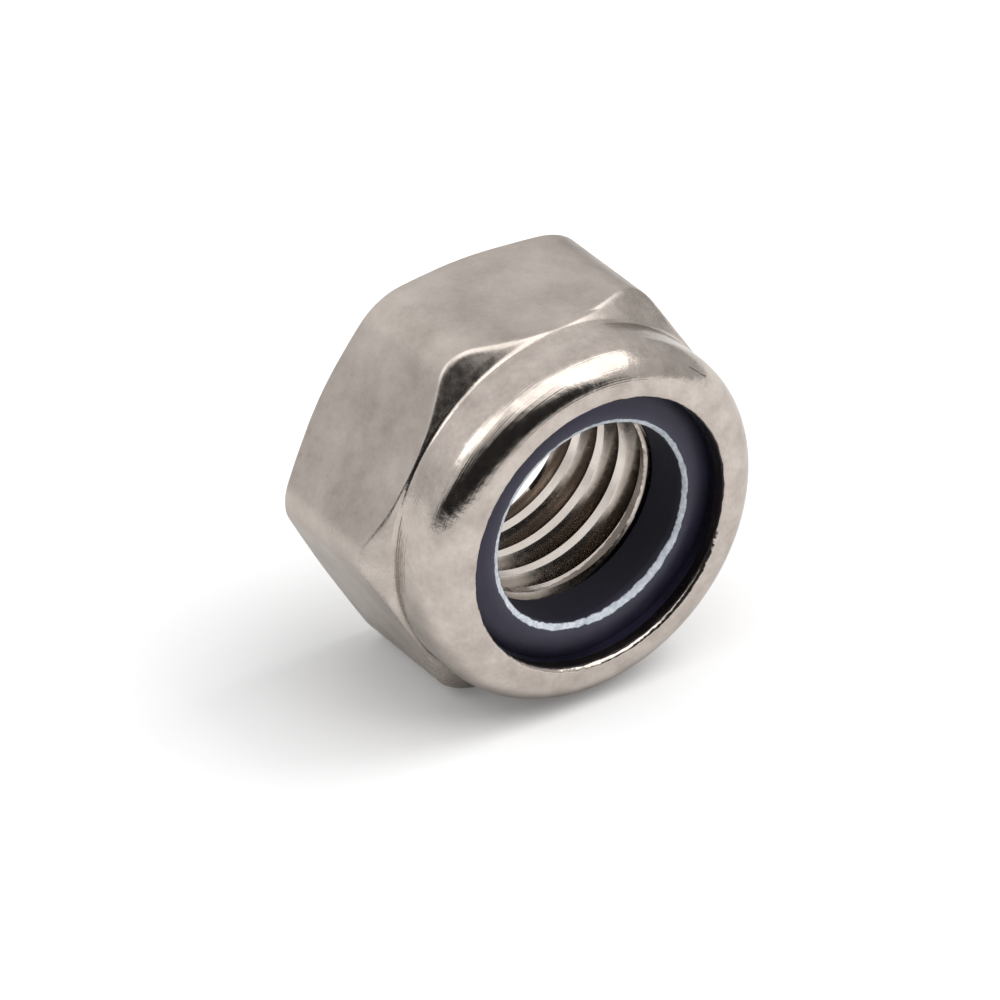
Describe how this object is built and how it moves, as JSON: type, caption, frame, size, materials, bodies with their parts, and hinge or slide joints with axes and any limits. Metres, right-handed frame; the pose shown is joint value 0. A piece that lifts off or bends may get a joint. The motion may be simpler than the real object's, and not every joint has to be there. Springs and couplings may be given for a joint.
{
  "type": "nylon insert lock nut",
  "caption": "Hexagon lock nut with a crimped round collar that holds a dark nylon ring, a countersunk threaded bore and softly rounded ridges.",
  "frame": {"origin": "centre of the bearing face, on the thread axis", "axes": "+Y along the thread axis out of the bearing face, the way the bolt leaves; the collar and its nylon ring point to -Y; +Z is the outward normal of the top flat, so the nut lies on the opposite flat"},
  "size_m": [0.0212, 0.0116, 0.019],
  "materials": {
    "nut_steel": "satin",
    "nylon": "satin"
  },
  "bodies": {
    "root": {"nut_body": "nut_steel", "nylon_insert": "nylon"}
  },
  "joints": []
}
